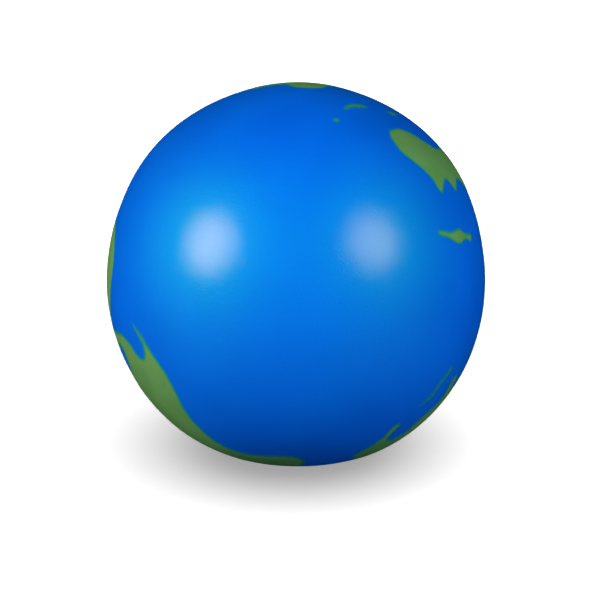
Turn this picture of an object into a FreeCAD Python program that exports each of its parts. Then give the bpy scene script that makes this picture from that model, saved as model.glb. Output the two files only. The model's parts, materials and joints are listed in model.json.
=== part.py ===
import FreeCAD, Part
import math
import os

# A globe stress ball: a moulded foam ball with a dense blue skin and land painted on it.
# Millimetres. The ball stands on a table at the origin, +Z is up, and its front faces -Y.
# It lies as a soft ball comes to lie: pressed a little flat by its own weight where it meets
# the table, with its south pole up and leaning back.

# driving dimensions
ball_diameter = 63.0
skin_thickness = 0.8
paint_thickness = 0.15
rest_radius = 4.0  # of the round patch on which the ball stands

# how the map lies on the ball
pole_lean = 22.9  # degrees that the south pole leans back from upright
pole_roll = 2.1  # degrees that it leans to the left
front_meridian = -166.3  # longitude that faces the front

# of the tools that cut the shapes, which leave no trace in them
wall_overshoot = 0.5  # how far the cutting walls run past each side of the paint
slab_width = 2 * ball_diameter

ball_radius = ball_diameter / 2
core_radius = ball_radius - skin_thickness
paint_radius = ball_radius + paint_thickness
centre_height = math.sqrt(ball_radius**2 - rest_radius**2)
centre = FreeCAD.Vector(0, 0, centre_height)

# Land outlines as (latitude, longitude) in degrees on the ball's own printed map, which is a
# simplified one: the shores are those of the paint, some degrees off a true globe's.
LAND = {
    "north_america": [
        (14.6, -108), (16.2, -110), (19.3, -112.7), (23.5, -114.5), (27.8, -116.4),
        (31.5, -117.6), (35.2, -117.7), (39, -117), (43.3, -115), (48, -113.6), (52.8, -112.8),
        (57.5, -111.8), (61.9, -112.6), (65, -116), (67.5, -122), (69, -132), (69.8, -144.9),
        (70.2, -153), (71.5, -161.2), (74, -168), (78, -171), (84, -165), (86, -140),
        (86, -110), (84, -88), (81, -80), (78, -77), (75, -77.5), (72, -73), (68, -77),
        (64.5, -79), (60.5, -80), (57.5, -77.5), (55.5, -72), (52, -71), (55, -68),
        (59.5, -69), (62.5, -68), (61.5, -62), (59, -60.5), (60.5, -57), (56, -55),
        (52.5, -52.5), (50, -55.5), (47.5, -51.5), (46.8, -56), (49, -60.5), (46, -58),
        (43.6, -62), (44, -65.5), (41.5, -67.5), (39, -70.4), (35.5, -72), (31.5, -76),
        (27, -74.4), (25.2, -75.8), (28.6, -78), (30.6, -81), (29.3, -85.4), (28, -88.8),
        (26, -91), (23.3, -92.6), (20.4, -91), (21.4, -87.4), (21, -84.2), (18, -85.6),
        (16.4, -84.6), (15.4, -81.6), (13.4, -80.4), (12.5, -82), (13.8, -85), (15.2, -89),
        (16.6, -93.4), (17.1, -97.4), (18.8, -100.2), (21.2, -103.4), (24.4, -104.9),
        (26.2, -107.4), (24.6, -110), (21.6, -110.9), (18.2, -109.3),
    ],
    "south_america": [
        (11.4, -87.6), (9.8, -90.2), (7.2, -92.6), (3.7, -95), (0.3, -97.4), (-3.2, -98.8),
        (-6.6, -98.8), (-10.3, -97.4), (-14.3, -95.2), (-18, -89.5), (-24, -86), (-31, -84.5),
        (-38, -84), (-45, -82), (-51, -78), (-54.5, -72), (-54, -67), (-50.5, -70), (-46, -69),
        (-42, -66), (-39, -63), (-36.5, -59), (-34, -55), (-29, -51.5), (-24.5, -48.5),
        (-22.5, -44), (-17, -41.5), (-12, -40.5), (-7.5, -38), (-4.5, -40), (-2.2, -46),
        (0.5, -51.5), (4.5, -55), (7, -61), (9.6, -65.5), (10.4, -71), (11.8, -75.5),
        (9.4, -78.5), (9.6, -82.5),
    ],
    "greenland": [
        (60.2, -44), (63, -50.5), (67, -53.5), (70.5, -54), (74, -57), (76.5, -67), (79, -67),
        (81.8, -58), (83.2, -38), (82, -22), (77.5, -19), (73, -22), (70, -24), (68.2, -30),
        (65.5, -38.5),
    ],
    "iceland": [
        (63.5, -19), (64.5, -22.8), (66.2, -22.5), (66.3, -16), (64.8, -13.8),
    ],
    "great_britain": [
        (50.2, -5.3), (51.8, -4.2), (53.3, -3.2), (55.5, -5), (58.5, -5), (57.6, -2),
        (54.5, -0.4), (52.5, 1.4), (51, 0.8),
    ],
    "ireland": [
        (51.6, -9.8), (54, -10.4), (55.2, -8), (53.6, -6.6), (52.2, -7),
    ],
    "eurasia": [
        (33.6, 120.6), (34.8, 122.2), (36.9, 121.9), (39.6, 120.4), (42.4, 118.8), (45.5, 120.4),
        (48.5, 123.4), (52, 124), (55.5, 123.2), (58.6, 124), (60.6, 127), (60.9, 133),
        (59.2, 137), (57.2, 138.6), (55, 139.2), (53.2, 138.4), (52.4, 140.6), (53.6, 143),
        (56.2, 143.2), (58.8, 141.4), (61.4, 141.6), (64.8, 141.4), (67.8, 142.8), (71.2, 141),
        (72.6, 136), (73.4, 126), (74.5, 113), (77, 103), (74.5, 88), (72.5, 80), (72, 71),
        (68.5, 69), (69, 60), (68, 51), (69.4, 43), (67.6, 38.5), (65, 36), (62.4, 32.5),
        (60.2, 27.5), (58.4, 20.5), (57.8, 13.5), (56.8, 16.5), (55.4, 19.5), (56.4, 23),
        (58.4, 25.5), (60.6, 30.5), (62.6, 35.5), (63.4, 39), (62.2, 41), (60.4, 37.5),
        (59.6, 40), (58.4, 35), (57, 30.5), (54.8, 24), (54.2, 18.5), (53.8, 14.5),
        (55.8, 10.4), (54.6, 8), (53.2, 6.8), (50.8, 3), (48.5, -3.8), (46, -1.4), (43.5, -2),
        (43.4, -8.6), (38.8, -9.3), (37, -8.4), (36.6, -5.4), (37, -1.8), (40, 0.2), (42.5, 3.2), (43.2, 6.2), (44.2, 9),
        (41.6, 12.6), (38.2, 15.8), (40.2, 17.8), (42, 15), (45, 12.6), (44.6, 15), (41.6, 19.2),
        (38, 21.4), (37, 23), (40.4, 23.4), (40.6, 26.4), (42, 28), (45.2, 29.6), (46.4, 32),
        (44.6, 34.4), (46.6, 37.4), (44, 39), (41.4, 41.2), (41.6, 36), (40.8, 30.6),
        (38.4, 27), (36.6, 29.6), (36.2, 34), (34, 35.8), (31.6, 35), (29, 36), (25, 38.4),
        (20.6, 41), (15.6, 43.8), (13, 45), (15, 50), (17.4, 55), (21, 58.6), (23.8, 58),
        (25.4, 55.6), (24.4, 52.4), (28.6, 48.4), (30, 49.4), (27.6, 52), (26.8, 56.4),
        (25.4, 61), (25, 66), (22.6, 69), (20.8, 71.4), (18.6, 73), (14, 74.4), (10, 76.4),
        (8.2, 77.6), (11, 79.8), (15.4, 80.4), (18.6, 84.2), (21.6, 87), (19.6, 90.6),
        (16.2, 91.8), (16.4, 94.4), (12.8, 95.2), (8.4, 95.8), (5, 97.4), (1.4, 99.8),
        (2.8, 101), (6.6, 99), (9.6, 97.4), (12.6, 97.2), (11.4, 98.8), (8.8, 100.4),
        (11.4, 103), (15.5, 102.2), (18.8, 100.2), (21, 102.4), (22.2, 105.6), (25.5, 108),
        (30, 109.6), (33.4, 109), (36.6, 110), (38.8, 111.2), (40, 113.6), (37.6, 115.6),
        (35, 117.6),
    ],
    "sri_lanka": [
        (6, 80.4), (8, 79.8), (9.6, 81.2), (7.6, 82),
    ],
    "africa": [
        (35.4, -5.8), (33.6, -7.6), (30, -9.8), (26, -14.4), (21, -17), (15, -17.2),
        (11.4, -15.4), (8, -13), (4.6, -8), (5.2, -2), (6.2, 3), (4.4, 6.4), (4, 9.4),
        (0, 9.2), (-5, 12), (-10, 13.4), (-15.6, 12.2), (-22, 14.2), (-28.6, 16.4),
        (-33.8, 18.2), (-34.6, 20.4), (-33.6, 26.4), (-29.6, 31.2), (-25, 33), (-24, 35.4),
        (-19.6, 35), (-16, 39.8), (-10.6, 40.4), (-5, 39), (-1, 42), (4, 47.6), (10.8, 51),
        (11.2, 45), (12.6, 42.2), (16, 39), (20, 36.6), (24, 34.8), (27.8, 33), (30, 32.2),
        (31.2, 30.4), (31, 25.4), (32.6, 22), (30.4, 18.6), (33, 13), (34.4, 10.4), (37, 10.6),
        (36.4, 4), (34.8, -1.4),
    ],
    "madagascar": [
        (-12.2, 49.2), (-15.8, 50.4), (-20, 48.8), (-25, 46.8), (-24.6, 43.8), (-20.4, 44.2),
        (-16, 45),
    ],
    "sumatra": [
        (5.2, 93), (2, 95.6), (-2, 98.4), (-5.6, 101.8), (-3.8, 103.2), (-0.8, 100.4),
        (3.2, 95.8),
    ],
    "java": [
        (-6.8, 103.4), (-8, 106.4), (-8.8, 110), (-7.2, 109.8), (-6.2, 106),
    ],
    "borneo": [
        (1.6, 105), (-3, 106.2), (-4, 109), (-1, 110.4), (2, 111), (6.2, 110.6), (4.2, 107.8),
    ],
    "new_guinea": [
        (-5.7, 149.8), (-6.5, 148.6), (-6.4, 146.2), (-6.3, 143.4), (-7.2, 140.6), (-8, 138.4),
        (-7.3, 136.2), (-6.8, 133.6), (-7.5, 131), (-7, 129.6), (-5.6, 130), (-4.8, 131.6),
        (-5.5, 133.8), (-5, 136), (-3.8, 137.6), (-3.3, 139.8), (-4, 142.4), (-4.8, 145),
        (-4.9, 147.8),
    ],
    "australia": [
        (-38.3, 156), (-40.2, 149.6), (-38.9, 143.5), (-36.3, 138.5), (-34.6, 133.2),
        (-35.2, 128.5), (-37.4, 121), (-36.6, 115.5), (-31.5, 112.5), (-26, 111), (-22, 113),
        (-22.5, 118), (-24.2, 122.5), (-25.2, 127.4), (-22.4, 131.2), (-19.3, 133.9),
        (-21.5, 135.4), (-23.7, 137.6), (-21.2, 140.6), (-17.6, 143.4), (-19.3, 145),
        (-22.4, 146.3), (-24.5, 148.5), (-26.9, 151.8), (-30.1, 155.8), (-35.4, 157.2),
    ],
    "tasmania": [
        (-49.7, 146.4), (-50, 142.2), (-48.8, 139.4), (-47.2, 140.4), (-47, 144.6),
        (-48, 147.6),
    ],
    "new_zealand_north": [
        (-39.7, 176.6), (-41.2, 174.6), (-42.6, 175), (-42.8, 176.6), (-41.6, 178.2),
        (-40.4, 177.8),
    ],
    "new_zealand_south": [
        (-47, 171.4), (-49.3, 169.4), (-50.6, 166.6), (-51.3, 162), (-51, 158.4),
        (-50.4, 156.2), (-49, 157.4), (-48.5, 161), (-48.4, 165.4), (-47.5, 168.2),
        (-46.4, 170),
    ],
    "japan": [
        (46, 138.5), (44, 136.2), (42, 134.6), (39.5, 134), (36.8, 133.8), (34.8, 132.4),
        (32.6, 131.4), (31, 131), (31.2, 129.4), (33.6, 129.2), (35.6, 130.2), (37.4, 131.4),
        (40.4, 131.6), (42.8, 132.2), (44.6, 134), (45.6, 136.4),
    ],
    "antarctica": [
        (-67, -136.5), (-71.5, -122), (-73.5, -112), (-72, -98), (-71, -84), (-67.5, -73),
        (-63.4, -60), (-64, -55.5), (-69, -61.5), (-75, -62), (-77.5, -46), (-77, -32),
        (-72, -14), (-70, 5), (-69, 25), (-67.5, 45), (-67.5, 60), (-69, 74), (-66.5, 86),
        (-66, 102), (-66, 118), (-66.8, 131), (-69, 143), (-69.5, 153), (-66.8, 163),
        (-62.8, 172.5), (-62, 180), (-62.5, -174), (-64.2, -168.5), (-68.6, -163.5),
        (-69.3, -155), (-68.3, -146),
    ],
    "cuba": [
        (21.9, -79.6), (22.9, -77.2), (22.2, -73.4), (20.6, -70), (20, -72.4), (21.2, -75.8),
    ],
    "hispaniola": [
        (18.2, -69.4), (19.6, -68.4), (19.2, -64.8), (18.2, -64), (17.8, -66.8),
    ],
}


def direction(latitude, longitude):
    """The unit vector from the ball's centre to a point of the map."""
    lat = math.radians(latitude)
    turn = math.radians(longitude - front_meridian)
    upside_down = FreeCAD.Vector(
        -math.cos(lat) * math.sin(turn), -math.cos(lat) * math.cos(turn), -math.sin(lat)
    )
    lean = FreeCAD.Rotation(FreeCAD.Vector(1, 0, 0), -pole_lean)
    roll = FreeCAD.Rotation(FreeCAD.Vector(0, 1, 0), -pole_roll)
    return roll.multVec(lean.multVec(upside_down))


def sphere(radius):
    return Part.makeSphere(radius, centre)


def slab(low, high):
    """A block wider than the ball, between two heights over the table."""
    corner = FreeCAD.Vector(-slab_width / 2, -slab_width / 2, low)
    return Part.makeBox(slab_width, slab_width, high - low, corner)


def wall(start, end):
    """A flat wall through the paint, on the plane of the ball's centre and two shore points."""
    low = ball_radius - wall_overshoot
    high = paint_radius + wall_overshoot
    corners = [start * low, start * high, end * high, end * low, start * low]
    return Part.Face(Part.makePolygon([centre + corner for corner in corners]))


def land(outline):
    """One painted land: a shell of paint cut along great circles between the shore points."""
    shore = [direction(latitude, longitude) for latitude, longitude in outline]
    middle = FreeCAD.Vector()
    for point in shore:
        middle = middle + point
    paint = Part.makeSphere(paint_radius).cut(Part.makeSphere(ball_radius))
    seam_away_from_land = FreeCAD.Rotation(FreeCAD.Vector(-1, 0, 0), middle)
    paint.Placement = FreeCAD.Placement(centre, seam_away_from_land)
    walls = [wall(a, b) for a, b in zip(shore, shore[1:] + shore[:1])]
    pieces, _ = paint.generalFuse(walls)
    return min(pieces.Solids, key=lambda piece: piece.Volume)


def export(name, shape):
    assert shape.isValid() and len(shape.Solids) == 1, name
    shape.exportStep("parts/" + name + ".step")


os.makedirs("parts", exist_ok=True)

skin = sphere(ball_radius).cut(sphere(core_radius))
export("foam_core", sphere(core_radius))
export("skin_lower", skin.common(slab(0, centre_height)))
export("skin_upper", skin.common(slab(centre_height, centre_height + ball_diameter)))
for name, outline in LAND.items():
    export(name, land(outline))
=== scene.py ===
import math

import bmesh
import bpy
import numpy as np
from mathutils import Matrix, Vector, noise
from mathutils.geometry import delaunay_2d_cdt
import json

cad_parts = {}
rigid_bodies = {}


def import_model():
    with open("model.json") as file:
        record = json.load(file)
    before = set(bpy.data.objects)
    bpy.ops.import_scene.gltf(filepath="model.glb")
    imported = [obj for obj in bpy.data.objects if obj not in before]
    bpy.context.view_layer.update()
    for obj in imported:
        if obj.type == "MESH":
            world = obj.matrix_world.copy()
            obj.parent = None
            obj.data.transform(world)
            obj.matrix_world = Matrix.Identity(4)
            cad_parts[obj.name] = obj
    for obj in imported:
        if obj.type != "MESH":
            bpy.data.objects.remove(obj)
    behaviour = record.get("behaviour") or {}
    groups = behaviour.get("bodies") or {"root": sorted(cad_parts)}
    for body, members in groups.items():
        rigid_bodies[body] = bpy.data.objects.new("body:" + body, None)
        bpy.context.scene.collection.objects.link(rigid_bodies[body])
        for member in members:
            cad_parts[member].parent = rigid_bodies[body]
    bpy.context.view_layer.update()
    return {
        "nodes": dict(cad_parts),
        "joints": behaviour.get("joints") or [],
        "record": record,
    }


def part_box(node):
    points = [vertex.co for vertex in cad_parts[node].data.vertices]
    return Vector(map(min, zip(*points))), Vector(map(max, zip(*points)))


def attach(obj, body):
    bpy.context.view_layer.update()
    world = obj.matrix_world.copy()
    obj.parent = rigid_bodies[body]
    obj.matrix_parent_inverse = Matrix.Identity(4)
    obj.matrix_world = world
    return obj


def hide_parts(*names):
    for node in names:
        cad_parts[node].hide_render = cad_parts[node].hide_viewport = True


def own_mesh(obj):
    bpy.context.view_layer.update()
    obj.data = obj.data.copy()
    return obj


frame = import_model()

# A globe stress ball: one dense blue skin over a foam core, and the lands as films of soft-edged
# green paint. Metres. The ball's size and its lands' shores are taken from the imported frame.

MM = 0.001
JOINT = frame["joints"][0]
BODIES = frame["record"]["behaviour"]["bodies"]
LANDS = set(frame["nodes"]) - {"foam_core", "skin_lower", "skin_upper"}

# the ball, from the frame
upper_low, upper_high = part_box("skin_upper")
core_low, core_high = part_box("foam_core")
CENTRE = np.array([0, 0, upper_low.z])
RADIUS = upper_high.z - upper_low.z
CORE_RADIUS = (core_high.z - core_low.z) / 2

# the camera's own directions, which the ball's lobes are measured against
CAMERA_LIFT = math.radians(16)
TO_CAMERA = np.array([0, -math.cos(CAMERA_LIFT), math.sin(CAMERA_LIFT)])
RIGHT = np.array([1, 0, 0])
UP = np.cross(TO_CAMERA, RIGHT)

# A foam ball is never quite round. (how many lobes, their height, the angle of the first)
LOBES = (
    (2, 0.25 * MM, math.radians(90)),
    (3, 0.12 * MM, math.radians(80)),
    (4, 0.19 * MM, math.radians(44)),
    (7, 0.07 * MM, math.radians(37)),
)
BASE_ANGLE = math.radians(22)  # no lobes this close to the resting patch
BASE_SOFTNESS = 0.05 * MM  # how gently the side turns into the patch
WAVES = 0.012 * MM  # the skin's faint unevenness
WAVE_LENGTH = 9 * MM
FINE, MEDIUM = 7, 6  # times that a sphere's triangles are divided

# the foam's surface under the skin
CORE_CELL = 2.2 * MM
CORE_RELIEF = 0.14 * MM

# paint
FILM = 0.08 * MM  # its thickness inland
RIM = 0.012 * MM  # and at the end of the mist round it
THICKENING = 2.6 * MM  # from the mist's end to where the film is that thick
SUNK = 0.02 * MM  # how far its underside reaches into the skin
SHORE_STEP = 0.28 * MM  # between points along a shore
SHORE_PASSES = 3  # of rounding off the outline's corners
INLAND_STEP = 0.9 * MM  # between points far from any shore
CLOSEST = 0.45 * SHORE_STEP  # that two points of a film may be
BATCH = 400  # points whose distances are worked out together
CREASE = math.radians(30)  # edges of a film that are sharper than this look sharp
OWN_SHORE = 0.98  # a row's point is this much of its offset or more from every shore
SLIVER = 1e-7  # a distance that counts as none
SAME_PLACES = 7  # vertices with the same coordinates to this many places are one point
MERGE = 1e-6  # and so are flat points closer than this many mm
PAST_THE_MIST = 1.001  # times its reach

# How far the mist of paint reaches out to sea, and how far inland it takes to cover fully
SHARP_MIST = (0.35 * MM, 0.5 * MM)
SOFT_MIST = (0.35 * MM, 1.05 * MM)
SOFT_LANDS = {"north_america", "japan", "tasmania", "new_zealand_north", "new_zealand_south"}


# --- helpers --------------------------------------------------------------------------------

def unit(vectors):
    """The vectors at length 1."""
    return vectors / np.linalg.norm(vectors, axis=-1, keepdims=True)


def smooth(share):
    """From 0 to 1 with no corner at either end."""
    share = np.clip(share, 0, 1)
    return share * share * (3 - 2 * share)


def added(name, data):
    """A new object in the scene."""
    made = bpy.data.objects.new(name, data)
    bpy.context.scene.collection.objects.link(made)
    return made


# --- the ball's form ------------------------------------------------------------------------

def swell(ways):
    """How far the ball stands proud of a true sphere, along unit vectors from its centre."""
    plane = ways @ RIGHT + 1j * (ways @ UP)
    lobes = sum(
        height * ((plane * np.exp(-1j * angle)) ** count).real for count, height, angle in LOBES
    )
    above_base = smooth((1 + ways[:, 2]) / (1 - math.cos(BASE_ANGLE)))
    waves = [noise.noise(Vector(way) * (RADIUS / WAVE_LENGTH)) for way in ways]
    return (lobes + WAVES * np.array(waves)) * above_base


def surface(ways, lift=0.0, radius=RADIUS):
    """Points at a radius plus lift along unit vectors, on the form that the whole ball has."""
    reach = radius + lift + swell(ways)
    points = CENTRE + ways * reach[:, None]
    height = points[:, 2]
    points[:, 2] = (height + np.sqrt(height**2 + BASE_SOFTNESS**2)) / 2
    return points


def sphere(subdivisions):
    """(unit vectors, triangles) spread evenly over a sphere."""
    bm = bmesh.new()
    bmesh.ops.create_icosphere(bm, subdivisions=subdivisions, radius=1)
    ways = np.array([v.co.normalized() for v in bm.verts])
    faces = [[v.index for v in f.verts] for f in bm.faces]
    bm.free()
    return ways, faces


def build(name, points, faces, cover=None):
    """A smooth mesh object, with cover stored on its points."""
    mesh = bpy.data.meshes.new(name)
    mesh.from_pydata(points.tolist(), [], faces)
    mesh.shade_smooth()
    if cover is not None:
        values = mesh.attributes.new("cover", "FLOAT", "POINT")
        values.data.foreach_set("value", cover.astype(np.float32))
    return added(name, mesh)


def install(piece, body, slot, *nodes):
    """The piece rides on a body and stands for the CAD nodes, which it hides."""
    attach(piece, body)
    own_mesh(piece)
    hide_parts(*nodes)


def ball_skin():
    """The skin: a closed shell, with the foam's space inside it."""
    outer, outer_faces = sphere(FINE)
    inner, inner_faces = sphere(MEDIUM)
    points = np.vstack([surface(outer), surface(inner, radius=CORE_RADIUS)])
    shift = len(outer)
    inner_faces = [[a + shift for a in reversed(face)] for face in inner_faces]
    return build("ball_skin", points, outer_faces + inner_faces)


def ball_core():
    """The foam, with its cells standing out a little where it meets the skin."""
    ways, faces = sphere(FINE)
    near = [noise.voronoi(Vector(way) * (CORE_RADIUS / CORE_CELL))[0][0] for way in ways]
    points = surface(ways, CORE_RELIEF * (np.array(near) - 1), CORE_RADIUS)
    return build("foam_ball_core", points, faces)


# --- the lands ------------------------------------------------------------------------------

def outline(node):
    """The shore of a painted land: points in order, from the ball's centre, sea on the right."""
    mesh = frame["nodes"][node].data
    mesh.calc_loop_triangles()
    number = {}
    point = []
    for vertex in mesh.vertices:
        spot = tuple(round(x, SAME_PLACES) for x in vertex.co)
        point.append(number.setdefault(spot, len(number)))
    spots = np.array(list(number)) - CENTRE
    edges = set()
    for triangle in mesh.loop_triangles:
        corners = [point[v] for v in triangle.vertices]
        outward = np.array(triangle.normal) @ unit(spots[corners].mean(axis=0))
        if outward > 0.5:  # the outer face, not the inner one or the rim
            edges.update(zip(corners, corners[1:] + corners[:1]))
    after = {a: b for a, b in edges if (b, a) not in edges}
    ring = [min(after)]
    while after[ring[-1]] != ring[0]:
        ring.append(after[ring[-1]])
    return spots[ring]


def even(ring, step):
    """The closed ring with evenly spaced points."""
    closed = np.vstack([ring, ring[:1]])
    along = np.concatenate([[0], np.cumsum(np.linalg.norm(np.diff(closed, axis=0), axis=1))])
    at = np.linspace(0, along[-1], round(along[-1] / step), endpoint=False)
    return np.column_stack([np.interp(at, along, closed[:, k]) for k in range(3)])


def shore_of(node):
    """The outline with its corners rounded off, as paint leaves them, on the true sphere."""
    ring = even(outline(node), SHORE_STEP)
    for _ in range(SHORE_PASSES):
        ring = (np.roll(ring, 1, axis=0) + 2 * ring + np.roll(ring, -1, axis=0)) / 4
    return unit(even(ring, SHORE_STEP)) * RADIUS


def sides(middle):
    """Two unit vectors square to middle and to each other."""
    askew = [0.3, 0.2, 1.0]  # in line with no land's middle
    east = unit(np.cross(askew, middle))
    return east, np.cross(middle, east)


class Chart:
    """A flat map round the middle of a land that keeps circles round."""

    def __init__(self, ring):
        self.middle = unit(ring.mean(axis=0))
        self.east, self.north = sides(self.middle)

    def flat(self, points):
        """Places on the map of points on the ball."""
        ways = unit(points)
        scale = 2 * RADIUS / (1 + ways @ self.middle)
        return np.column_stack([ways @ self.east * scale, ways @ self.north * scale])

    def round(self, spots):
        """Points on the ball of places on the map."""
        east, north = (spots / RADIUS).T
        far = east**2 + north**2
        ways = (
            self.middle * ((4 - far) / (4 + far))[:, None]
            + self.east * (4 * east / (4 + far))[:, None]
            + self.north * (4 * north / (4 + far))[:, None]
        )
        return ways * RADIUS


def inland(points, ring, chart):
    """How far each point lies inland from the shore; a point at sea has a minus."""
    step = np.roll(ring, -1, axis=0) - ring
    length = (step**2).sum(axis=1)
    shore = chart.flat(ring)
    (ax, ay), (bx, by) = shore.T, np.roll(shore, -1, axis=0).T
    found = []
    for first in range(0, len(points), BATCH):
        batch = points[first:first + BATCH]
        gap = batch[:, None] - ring
        share = np.clip((gap * step).sum(axis=2) / length, 0, 1)
        distance = np.linalg.norm(gap - share[:, :, None] * step, axis=2).min(axis=1)
        x, y = chart.flat(batch).T[:, :, None]
        beside = (ay > y) != (by > y)
        crossed = beside & (x < (bx - ax) * (y - ay) / np.where(by == ay, 1, by - ay) + ax)
        found.append(np.where(crossed.sum(axis=1) % 2 == 1, distance, -distance))
    return np.concatenate(found)


def rows_along(ring, chart, out, inside):
    """Points in rows along the shore, from the mist's outer end to full cover.

    A point is left out if another stretch of shore is nearer to it than its own is.
    """
    tangent = unit(np.roll(ring, -1, axis=0) - np.roll(ring, 1, axis=0))
    to_land = unit(np.cross(unit(ring), tangent))
    count = math.ceil((out + inside) / SHORE_STEP) + 1
    for offset in np.linspace(-out, inside, count):
        row = unit(ring + to_land * offset) * RADIUS
        depth = math.copysign(1, offset) * inland(row, ring, chart)
        yield row[depth > abs(offset) * OWN_SHORE - SLIVER]


def lattice(ring, chart, inside):
    """Points in staggered rows over the land further inland than the rows along the shore."""
    low, high = chart.flat(ring).min(axis=0), chart.flat(ring).max(axis=0)
    across = np.arange(low[0], high[0], INLAND_STEP)
    up = np.arange(low[1], high[1], INLAND_STEP * math.sqrt(3) / 2)
    spots = np.array([
        (x + (INLAND_STEP / 2 if row % 2 else 0), y) for row, y in enumerate(up) for x in across
    ])
    points = chart.round(spots)
    return points[inland(points, ring, chart) > inside + INLAND_STEP / 2]


def apart(points, gap):
    """The points in order, without any that is too close to an earlier one."""
    taken = {}
    kept = []
    for i, point in enumerate(points):
        cell = tuple(np.floor(point / gap).astype(int))
        near = [
            taken[x, y, z]
            for x in range(cell[0] - 1, cell[0] + 2)
            for y in range(cell[1] - 1, cell[1] + 2)
            for z in range(cell[2] - 1, cell[2] + 2)
            if (x, y, z) in taken
        ]
        if all(np.linalg.norm(point - points[k]) >= gap for k in near):
            taken[cell] = i
            kept.append(i)
    return points[kept]


def land(node):
    """One painted land: a closed film on the skin that thins out to a mist past its shore."""
    out, inside = SOFT_MIST if node in SOFT_LANDS else SHARP_MIST
    ring = shore_of(node)
    chart = Chart(ring)
    points = np.vstack([*rows_along(ring, chart, out, inside), lattice(ring, chart, inside)])
    points = apart(points, CLOSEST)
    spots = chart.flat(points)
    found = delaunay_2d_cdt([Vector(s) for s in spots / MM], [], [], 0, MERGE)
    faces = np.array(found[2])
    points = chart.round(np.array([v[:] for v in found[0]]) * MM)
    middles = points[faces].mean(axis=1)
    faces = faces[inland(unit(middles) * RADIUS, ring, chart) > -out * PAST_THE_MIST]
    depth = inland(points, ring, chart)
    ways = unit(points)
    lift = RIM + (FILM - RIM) * smooth((depth + out) / THICKENING)
    count = len(points)
    edges = {(int(a), int(b)) for f in faces for a, b in zip(f, np.roll(f, -1))}
    shell = [list(map(int, f)) for f in faces]
    shell += [[int(a) + count for a in f[::-1]] for f in faces]
    shell += [[b, a, a + count, b + count] for a, b in edges if (b, a) not in edges]
    cover = np.clip((depth + out) / (inside + out), 0, 1)
    form = np.vstack([surface(ways, lift), surface(ways, -SUNK)])
    film = build(node + "_paint", form, shell, np.tile(cover, 2))
    film.data.set_sharp_from_angle(angle=CREASE)
    return film


# --- materials ------------------------------------------------------------------------------

BLUE = (0.0, 0.080, 0.92, 1)
DEEP_BLUE = (0.0, 0.071, 0.88, 1)
TEAL = (0.008, 0.20, 0.22, 1)
LIGHT_TEAL = (0.04, 0.25, 0.14, 1)
GREEN = (0.093, 0.270, 0.116, 1)
DARK_GREEN = (0.079, 0.248, 0.102, 1)
FOAM = (0.72, 0.66, 0.48, 1)
# the foam's colour in the hollows of its pores: painted shade
FOAM_PAINTED_SHADE = (0.52, 0.45, 0.29, 1)

BLACK = (0.0, 0.0, 0.0, 1)
WHITE = (1.0, 1.0, 1.0, 1)

# the satin finish: a wide green gloss over the blue, and a tighter clear one on top
SATIN = {
    "IOR": 1.77,
    "Specular IOR Level": 1.0,
    "Specular Tint": (0.0, 1.0, 0.0, 1),
    "Coat Weight": 0.24,
    "Coat Roughness": 0.14,
}
SATIN_ROUGHNESS = (0.58, 0.66)
MOTTLE = 12 * MM  # size of the slow changes of shade and roughness
SHADE_FROM, SHADE_TO = 0.35, 0.65  # of the noise, where one shade turns into the other

# bumps: their size, detail, height and strength
GRAIN = (0.23 * MM, 1.0, 0.03 * MM, 1.0)
RIPPLE = (1.6 * MM, 2.0, 0.02 * MM, 0.12)

# the paint's edge: its unevenness, and the cover at which each colour takes over
EDGE_PATCH = 0.7 * MM
EDGE_WANDER = 0.1
EDGE_HUES = [(0.1, BLUE), (0.48, TEAL), (0.68, LIGHT_TEAL), (0.88, GREEN)]
LEAVING_SEA = [(0.12, BLACK), (0.3, WHITE)]
FULLY_ASHORE = [(0.7, BLACK), (0.88, WHITE)]
GREEN_PATCH = 5 * MM

# the foam
PORE = 0.45 * MM
PORE_DEPTH = 0.2 * MM
FOAM_PATCH = 3 * MM
FOAM_ROUGHNESS = (0.85, 0.95)


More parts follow.
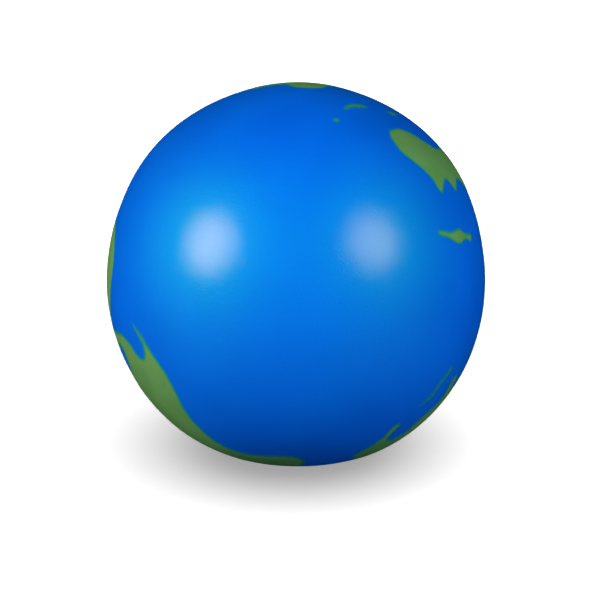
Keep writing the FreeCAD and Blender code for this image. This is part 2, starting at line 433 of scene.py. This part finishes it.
class Finish:
    """A material being made: a Principled shader and the nodes that lead to it."""

    def __init__(self, name):
        self.material = bpy.data.materials.new(name)
        self.material.use_nodes = True
        self.nodes = self.material.node_tree.nodes
        self.links = self.material.node_tree.links
        self.shader = self.nodes["Principled BSDF"]
        self.place = self.nodes.new("ShaderNodeTexCoord").outputs["Object"]

    def hold(self, constants):
        """Sets the shader's own sockets."""
        for socket, value in constants.items():
            self.shader.inputs[socket].default_value = value

    def feed(self, socket, value):
        """Leads a node's output to one of the shader's sockets."""
        self.links.new(value, self.shader.inputs[socket])

    def cloud(self, size, detail=2.0):
        """Soft noise whose blotches are about as wide as size, from 0 to 1."""
        node = self.nodes.new("ShaderNodeTexNoise")
        node.inputs["Scale"].default_value = 1 / size
        node.inputs["Detail"].default_value = detail
        self.links.new(self.place, node.inputs["Vector"])
        return node.outputs["Fac"]

    def remap(self, value, low, high):
        """The value from 0 to 1 as a number from low to high."""
        node = self.nodes.new("ShaderNodeMapRange")
        node.inputs["To Min"].default_value = low
        node.inputs["To Max"].default_value = high
        self.links.new(value, node.inputs["Value"])
        return node.outputs["Result"]

    def add(self, first, second):
        """The sum of two values."""
        node = self.nodes.new("ShaderNodeMath")
        self.links.new(first, node.inputs[0])
        self.links.new(second, node.inputs[1])
        return node.outputs["Value"]

    def ramp(self, value, stops):
        """A colour for the value, from (place, colour) stops."""
        node = self.nodes.new("ShaderNodeValToRGB")
        node.color_ramp.interpolation = "EASE"
        elements = node.color_ramp.elements
        while len(elements) < len(stops):
            elements.new(0.5)
        for element, (at, colour) in zip(elements, stops):
            element.position = at
            element.color = colour
        self.links.new(value, node.inputs["Fac"])
        return node.outputs["Color"]

    def mix(self, share, first, second):
        """The first colour, turning into the second as share goes from 0 to 1."""
        node = self.nodes.new("ShaderNodeMix")
        node.data_type = "RGBA"
        self.links.new(share, node.inputs["Factor"])
        self.links.new(first, node.inputs["A"])
        self.links.new(second, node.inputs["B"])
        return node.outputs["Result"]

    def bump(self, height, distance, strength, below=None):
        """A normal tilted by the height, on top of the normal below."""
        node = self.nodes.new("ShaderNodeBump")
        node.inputs["Distance"].default_value = distance
        node.inputs["Strength"].default_value = strength
        self.links.new(height, node.inputs["Height"])
        if below is not None:
            self.links.new(below, node.inputs["Normal"])
        return node.outputs["Normal"]

    def relief(self, size, detail, distance, strength, below=None):
        """Soft bumps about as wide as size."""
        return self.bump(self.cloud(size, detail), distance, strength, below)

    def give(self, piece):
        """Covers the whole piece with the material."""
        piece.data.materials.clear()
        piece.data.materials.append(self.material)


def coated(name):
    """The satin coat that skin and paint share, with no colour yet."""
    finish = Finish(name)
    finish.hold(SATIN)
    finish.feed("Roughness", finish.remap(finish.cloud(MOTTLE), *SATIN_ROUGHNESS))
    normal = finish.relief(*RIPPLE, below=finish.relief(*GRAIN))
    finish.feed("Normal", normal)
    finish.feed("Coat Normal", normal)
    return finish


def sea(finish):
    """The blue of the skin, a little uneven."""
    return finish.ramp(finish.cloud(MOTTLE), [(SHADE_FROM, DEEP_BLUE), (SHADE_TO, BLUE)])


def skin_finish():
    """Satin blue."""
    finish = coated("blue_satin_skin")
    finish.feed("Base Color", sea(finish))
    return finish


def paint_finish():
    """Green that thins out through teal to the skin's own blue, along a slightly uneven edge."""
    finish = coated("green_land_paint")
    cover = finish.nodes.new("ShaderNodeAttribute")
    cover.attribute_name = "cover"
    wander = finish.remap(finish.cloud(EDGE_PATCH), -EDGE_WANDER, EDGE_WANDER)
    edge = finish.add(cover.outputs["Fac"], wander)
    patches = finish.cloud(GREEN_PATCH, 4.0)
    green = finish.ramp(patches, [(SHADE_FROM, DARK_GREEN), (SHADE_TO, GREEN)])
    hue = finish.ramp(edge, EDGE_HUES)
    past_sea = finish.ramp(edge, LEAVING_SEA)
    ashore = finish.ramp(edge, FULLY_ASHORE)
    finish.feed("Base Color", finish.mix(ashore, finish.mix(past_sea, sea(finish), hue), green))
    return finish


def foam_finish():
    """Pale open-celled foam, with painted shade: its colour turns darker in the pores' hollows."""
    finish = Finish("polyurethane_foam")
    cells = finish.nodes.new("ShaderNodeTexVoronoi")
    cells.inputs["Scale"].default_value = 1 / PORE
    finish.links.new(finish.place, cells.inputs["Vector"])
    depth = cells.outputs["Distance"]
    # painted shade: the colour darkens towards the bottom of each pore, where the bump is lowest
    finish.feed("Base Color", finish.ramp(depth, [(0.1, FOAM_PAINTED_SHADE), (0.5, FOAM)]))
    finish.feed("Roughness", finish.remap(finish.cloud(FOAM_PATCH), *FOAM_ROUGHNESS))
    finish.feed("Normal", finish.bump(depth, PORE_DEPTH, 0.6))
    return finish


# --- the camera, the floor and the light ----------------------------------------------------

CAMERA_DISTANCE = 8 * RADIUS
NEAREST_SEEN = 10 * MM
VIEW_HALF_WIDTH = 0.1973  # the tangent of half the angle that the picture takes in
AIM = 0.0175 * RADIUS * RIGHT - 0.127 * RADIUS * UP  # from the ball's centre

# Lights on the ball alone. (azimuth from the front, lift, (width, height), power, colour)
LIGHT_DISTANCE = 0.5  # from the ball's centre
SOFTBOX = (0.25, 0.24)
LEFT_WARM = (1.0, 0.60, 0.46)
RIGHT_WARM = (1.0, 0.68, 0.58)
NEUTRAL = (1.0, 1.0, 1.0)
SOFTBOXES = {
    "softbox_left": (-57.2, 25.6, SOFTBOX, 4.4, LEFT_WARM),
    "softbox_right": (51.3, 27.8, SOFTBOX, 2.55, RIGHT_WARM),
}
FILLS = {  # not mirrored in the ball
    "front_fill": (0.0, -8.0, (1.1, 1.1), 1.0, NEUTRAL),
    "left_fill": (-60.0, -20.0, (0.5, 0.5), 0.27, NEUTRAL),
    "right_fill": (60.0, -20.0, (0.5, 0.5), 0.28, NEUTRAL),
    "back_fill": (180.0, -16.0, (0.4, 0.4), 2.0, NEUTRAL),
}
FLOOR_LIGHT_PLACE = (0.1, -0.6, 0.9)
FLOOR_LIGHT_SIZE = (2.2, 2.2)
FLOOR_LIGHT_POWER = 32.0

# the floor, and how it glows: painted light, faint near the ball and white further off
FLOOR_REACH = 4.0
FLOOR = {
    "Base Color": (0.8, 0.8, 0.8, 1),
    "Roughness": 1,
    "Specular IOR Level": 0,
    "Emission Color": WHITE,
}
FLOOR_GLOW = 0.37  # so that the shadow isn't black
WHITE_GLOW = 1.0  # further off, so that the floor stays white
WHITE_FROM, WHITE_TO = 0.1, 0.3  # distances between which the one turns into the other

# the world's light, by the height of its direction: none from above AMBIENT_TOP
AMBIENT_BELOW = 0.25
AMBIENT_BOTTOM, AMBIENT_TOP = -0.5, -0.1


def aim(thing, target):
    """Turns a camera or light so that it looks at a point."""
    way = Vector(target) - thing.location
    thing.rotation_euler = way.to_track_quat("-Z", "Y").to_euler()


def camera():
    """The main view, from the front and a little above."""
    data = bpy.data.cameras.new("camera")
    data.lens = data.sensor_width / 2 / VIEW_HALF_WIDTH
    data.clip_start = NEAREST_SEEN
    made = added("camera", data)
    made.location = CENTRE + TO_CAMERA * CAMERA_DISTANCE
    aim(made, CENTRE + AIM)
    bpy.context.scene.camera = made


def floor():
    """A plain floor with a painted glow: faint near the ball, where it lifts the shadow and leaves
    the floor painted darker, and white further off.
    """
    mesh = bpy.data.meshes.new("floor")
    square = ((-1, -1), (1, -1), (1, 1), (-1, 1))
    corners = [(x * FLOOR_REACH, y * FLOOR_REACH, 0) for x, y in square]
    mesh.from_pydata(corners, [], [(0, 1, 2, 3)])
    made = added("floor", mesh)
    finish = Finish("pale_floor")
    finish.hold(FLOOR)
    distance = finish.nodes.new("ShaderNodeVectorMath")
    distance.operation = "LENGTH"
    finish.links.new(finish.place, distance.inputs[0])
    # painted light: the floor's own glow, faint near the ball and rising to white further off
    glow = finish.remap(distance.outputs["Value"], FLOOR_GLOW, WHITE_GLOW)
    glow.node.inputs["From Min"].default_value = WHITE_FROM
    glow.node.inputs["From Max"].default_value = WHITE_TO
    finish.feed("Emission Strength", glow)
    finish.give(made)
    made.visible_diffuse = False
    made.visible_glossy = False
    made.visible_shadow = False  # the world's light comes up through it
    return made


def area_light(name, place, target, size, power, lit):
    """A soft light that shines on the objects in lit."""
    data = bpy.data.lights.new(name, "AREA")
    data.shape = "ELLIPSE"
    data.size, data.size_y = size
    data.energy = power
    made = added(name, data)
    made.location = place
    aim(made, target)
    made.visible_camera = False
    group = bpy.data.collections.new(name + "_lights_these")
    for thing in lit:
        group.objects.link(thing)
    made.light_linking.receiver_collection = group
    return made


def lights(pieces, ground):
    """Softboxes and fills for the ball, and one wide light for the floor."""
    for name, (azimuth, lift, size, power, colour) in {**SOFTBOXES, **FILLS}.items():
        azimuth, lift = math.radians(azimuth), math.radians(lift)
        way = np.array([
            math.sin(azimuth) * math.cos(lift), -math.cos(azimuth) * math.cos(lift), math.sin(lift),
        ])
        made = area_light(name, CENTRE + way * LIGHT_DISTANCE, CENTRE, size, power, pieces)
        made.data.color = colour
        made.visible_glossy = name in SOFTBOXES
    place, below = FLOOR_LIGHT_PLACE, FLOOR_LIGHT_PLACE[:2] + (0,)
    made = area_light("floor_light", place, below, FLOOR_LIGHT_SIZE, FLOOR_LIGHT_POWER, [ground])
    made.data.cycles.use_multiple_importance_sampling = False  # only rays aimed at it find it
    for piece in pieces:
        piece.visible_diffuse = False  # no blue light from the ball on the floor


def world():
    """White to look at; it lights the ball faintly from below, and isn't mirrored."""
    made = bpy.data.worlds.new("studio")
    bpy.context.scene.world = made
    made.use_nodes = True
    nodes, links = made.node_tree.nodes, made.node_tree.links
    ambient = nodes["Background"]
    backdrop = nodes.new("ShaderNodeBackground")
    backdrop.inputs["Color"].default_value = WHITE
    way = nodes.new("ShaderNodeSeparateXYZ")
    links.new(nodes.new("ShaderNodeTexCoord").outputs["Generated"], way.inputs["Vector"])
    ramp = nodes.new("ShaderNodeMapRange")
    ramp.inputs["From Min"].default_value = AMBIENT_BOTTOM
    ramp.inputs["From Max"].default_value = AMBIENT_TOP
    ramp.inputs["To Min"].default_value = AMBIENT_BELOW
    ramp.inputs["To Max"].default_value = 0
    links.new(way.outputs["Z"], ramp.inputs["Value"])
    ray = nodes.new("ShaderNodeLightPath")
    unmirrored = nodes.new("ShaderNodeMath")
    unmirrored.operation = "SUBTRACT"
    unmirrored.inputs[0].default_value = 1
    links.new(ray.outputs["Is Glossy Ray"], unmirrored.inputs[1])
    strength = nodes.new("ShaderNodeMath")
    strength.operation = "MULTIPLY"
    links.new(ramp.outputs["Result"], strength.inputs[0])
    links.new(unmirrored.outputs["Value"], strength.inputs[1])
    links.new(strength.outputs["Value"], ambient.inputs["Strength"])
    mix = nodes.new("ShaderNodeMixShader")
    links.new(ray.outputs["Is Camera Ray"], mix.inputs["Fac"])
    links.new(ambient.outputs["Background"], mix.inputs[1])
    links.new(backdrop.outputs["Background"], mix.inputs[2])
    links.new(mix.outputs["Shader"], nodes["World Output"].inputs["Surface"])


# --- the scene ------------------------------------------------------------------------------

camera()

skin = ball_skin()
install(skin, JOINT["parent"], "blue_skin", "skin_lower", "skin_upper")
skin_finish().give(skin)

core = ball_core()
install(core, JOINT["parent"], "foam", "foam_core")
foam_finish().give(core)

paint = paint_finish()
films = []
for body, nodes in BODIES.items():
    for node in nodes:
        if node in LANDS:
            film = land(node)
            install(film, body, "land_paint", node)
            paint.give(film)
            films.append(film)

lights([skin, core, *films], floor())
world()
bpy.context.scene.view_settings.view_transform = "Standard"
